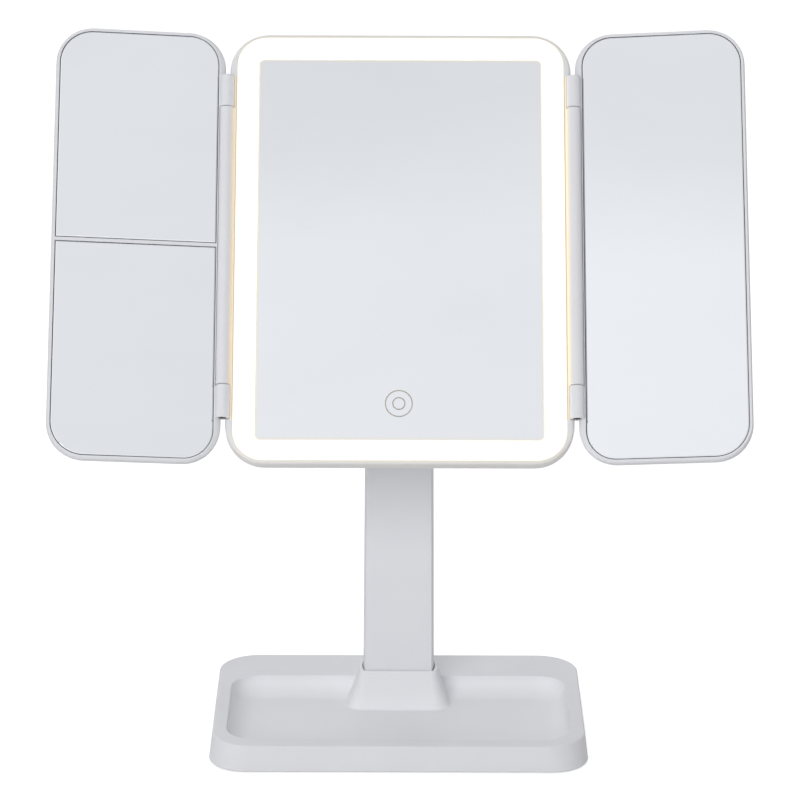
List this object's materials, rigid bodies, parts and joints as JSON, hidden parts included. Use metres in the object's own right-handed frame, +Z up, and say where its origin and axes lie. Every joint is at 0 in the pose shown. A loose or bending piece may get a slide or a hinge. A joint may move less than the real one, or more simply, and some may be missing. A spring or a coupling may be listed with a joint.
{
  "type": "trifold vanity mirror",
  "caption": "Free-standing lit table mirror with folding side wings, a divided magnifying wing, a tilting head on a slim stem and a tray base.",
  "frame": {"origin": "on the table under the middle of the whole object at rest", "axes": "+Z up, the mirrors face -Y, +X is the right-hand wing as the user sees it"},
  "size_m": [0.359, 0.1438, 0.3716],
  "materials": {
    "white_shell": "fine satin moulded plastic",
    "mirror_glass": "silvered float glass, bevelled edge",
    "foot_rubber": "soft translucent grey pads",
    "plated_steel": "zinc plated",
    "bright_steel": "bright plated",
    "painted_steel": "white paint",
    "opal_panel": "opal acrylic, lit from behind",
    "inner_plastic": "white, diffuse",
    "dark_plastic": "black moulded",
    "white_board": "white solder mask",
    "led_phosphor": "yellow phosphor",
    "copper_pad": "bare copper",
    "circuit_board": "green solder mask",
    "cell_wrap": "plain printed sleeve",
    "contact_metal": "nickel plated spring steel",
    "bearing_plastic": "self-lubricating",
    "foam_tape": "thin foam"
  },
  "bodies": {
    "stand": {"base_tray": "white_shell", "base_bottom_cover": "white_shell", "base_feet": "foot_rubber", "ballast_plate": "plated_steel", "base_screws": "bright_steel", "stem_base_screws": "bright_steel", "stem_front_shell": "white_shell", "stem_rear_shell": "white_shell", "stem_spine": "plated_steel", "stem_shell_screws": "bright_steel"},
    "head": {"head_front_frame": "white_shell", "light_diffuser": "opal_panel", "centre_mirror_glass": "mirror_glass", "mirror_carrier": "inner_plastic", "led_board": "white_board", "led_chips": "led_phosphor", "head_rear_cover": "white_shell", "touch_sensor_pad": "copper_pad", "control_board": "circuit_board", "battery_holder": "dark_plastic", "battery_cells": "cell_wrap", "battery_contacts": "contact_metal", "tilt_bracket": "painted_steel", "tilt_axle": "bright_steel", "axle_nut": "bright_steel", "friction_washers": "bearing_plastic", "hinge_bushes": "bearing_plastic", "head_screws": "bright_steel", "bracket_screws": "bright_steel"},
    "left_wing": {"left_wing_shell": "white_shell", "left_wing_upper_mirror": "mirror_glass", "left_wing_lower_mirror": "mirror_glass", "left_wing_mirror_pads": "foam_tape", "left_hinge_pins": "bright_steel"},
    "right_wing": {"right_wing_shell": "white_shell", "right_wing_mirror": "mirror_glass", "right_wing_mirror_pads": "foam_tape", "right_hinge_pins": "bright_steel"},
    "battery_door": {"battery_door": "white_shell"}
  },
  "joints": [
    {"name": "head_tilt", "type": "hinge", "parent": "stand", "child": "head", "pos_m": [0, 0.02468, 0.2527], "axis": [-1, 0, 0], "range_deg": [-33, 55]},
    {"name": "left_wing_fold", "type": "hinge", "parent": "head", "child": "left_wing", "pos_m": [-0.0903, -0.00147, 0.26971], "axis": [0, 0.5452, 0.8383], "range_deg": [-7.5, 172]},
    {"name": "right_wing_fold", "type": "hinge", "parent": "head", "child": "right_wing", "pos_m": [0.0903, -0.00147, 0.26971], "axis": [0, -0.5452, -0.8383], "range_deg": [-7.5, 172]},
    {"name": "battery_door_release", "type": "slide", "parent": "head", "child": "battery_door", "axis": [0, 0.8383, -0.5452], "range_m": [0, 0.03]}
  ]
}
